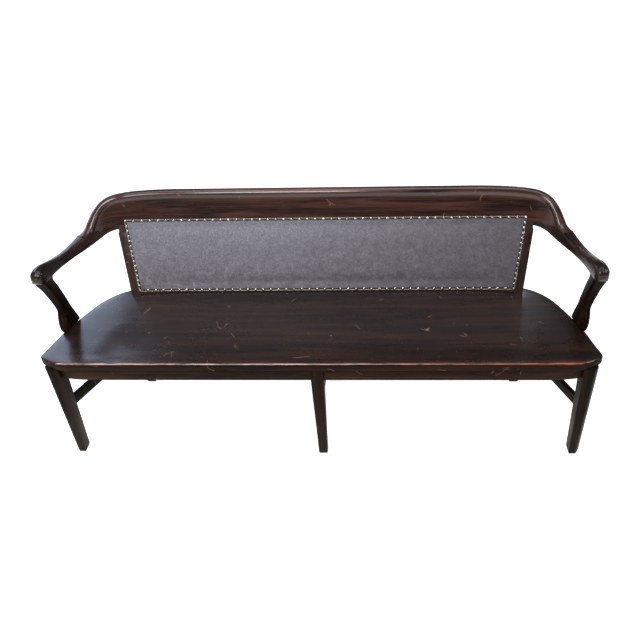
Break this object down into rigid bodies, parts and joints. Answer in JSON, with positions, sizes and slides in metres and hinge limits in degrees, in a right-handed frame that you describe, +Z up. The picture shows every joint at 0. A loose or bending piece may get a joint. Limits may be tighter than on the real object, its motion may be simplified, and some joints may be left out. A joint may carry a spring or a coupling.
{
  "type": "railroad station bench",
  "caption": "Long wooden waiting-room bench with a scooped seat, bow arms on curved posts, tapered legs and a raked back with a nailed leather panel.",
  "frame": {"origin": "middle of the bench's box, on the floor", "axes": "+X along the bench, to the right as a person facing the bench sees it; +Y from the front edge to the back; +Z up"},
  "size_m": [1.9894, 0.648, 0.825],
  "materials": {
    "seat_wood": "dark stained mahogany under worn varnish",
    "back_wood": "dark stained mahogany, satin varnish",
    "base_wood": "dark brown stain, dull varnish",
    "inner_wood": "bare softwood and dowels",
    "leather": "worn slate grey leather",
    "edge_strip": "folded edge strip",
    "padding": "stuffed hair in cotton cloth",
    "nails": "aged domed heads"
  },
  "bodies": {
    "root": {"seat_board_front": "seat_wood", "seat_board_mid_front": "seat_wood", "seat_board_mid_rear": "seat_wood", "seat_board_rear": "seat_wood", "front_leg_left": "base_wood", "front_leg_centre": "base_wood", "front_leg_right": "base_wood", "rear_leg_left": "base_wood", "rear_leg_centre": "base_wood", "rear_leg_right": "base_wood", "front_rail_left": "base_wood", "front_rail_right": "base_wood", "side_rail_left": "base_wood", "side_rail_right": "base_wood", "rear_rail_left": "base_wood", "rear_rail_right": "base_wood", "stretcher_left": "base_wood", "stretcher_centre": "base_wood", "stretcher_right": "base_wood", "corner_blocks": "inner_wood", "glue_blocks": "inner_wood", "stile_left": "back_wood", "stile_right": "back_wood", "middle_stile": "back_wood", "back_rail_bottom": "back_wood", "back_rail_top": "back_wood", "crest": "back_wood", "arm_left": "back_wood", "arm_right": "back_wood", "arm_post_left": "back_wood", "arm_post_right": "back_wood", "post_dowels": "inner_wood", "crest_dowels": "inner_wood", "stile_dowels": "inner_wood", "backing_board": "inner_wood", "padding": "padding", "leather_panel": "leather", "leather_strip": "edge_strip", "upholstery_nails": "nails"}
  },
  "joints": []
}
